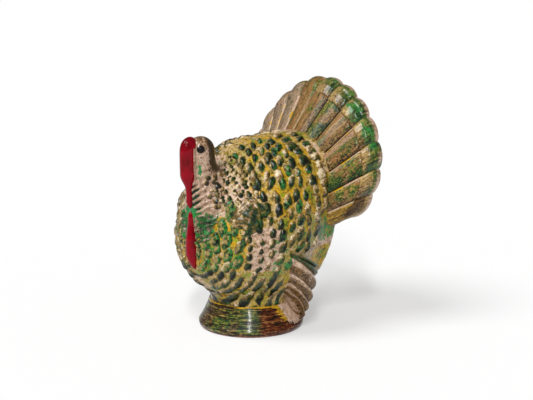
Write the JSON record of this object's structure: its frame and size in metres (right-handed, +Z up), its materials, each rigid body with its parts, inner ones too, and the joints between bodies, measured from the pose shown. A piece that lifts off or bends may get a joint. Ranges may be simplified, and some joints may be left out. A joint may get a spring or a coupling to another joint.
{
  "type": "turkey figure",
  "caption": "Small hand-painted cast figure of a strutting turkey with a raised, scalloped tail fan, standing on a round flared pedestal.",
  "frame": {"origin": "centre of the pedestal's flat resting face", "axes": "+Z up, the bird faces -Y, its left side is towards +X"},
  "size_m": [0.0672, 0.0702, 0.0892],
  "materials": {
    "pedestal_paint": "brown and green brushed paint under gloss varnish",
    "body_paint": "green, brown and ochre dry-brushed paint over a pinkish undercoat, gloss varnish",
    "head_paint": "pinkish undercoat with dark strokes, gloss varnish",
    "red_paint": "crimson paint under gloss varnish",
    "eye_paint": "black paint under gloss varnish",
    "wing_paint": "brown strokes over a pinkish undercoat, gloss varnish",
    "tail_paint": "brown and green brushed paint with ochre tips, gloss varnish"
  },
  "bodies": {
    "root": {"pedestal": "pedestal_paint", "left_body_half": "body_paint", "right_body_half": "body_paint", "head": "head_paint", "snood": "red_paint", "wattle": "red_paint", "left_eye": "eye_paint", "right_eye": "eye_paint", "left_wing": "wing_paint", "right_wing": "wing_paint", "left_tail_fan": "tail_paint", "right_tail_fan": "tail_paint"}
  },
  "joints": []
}
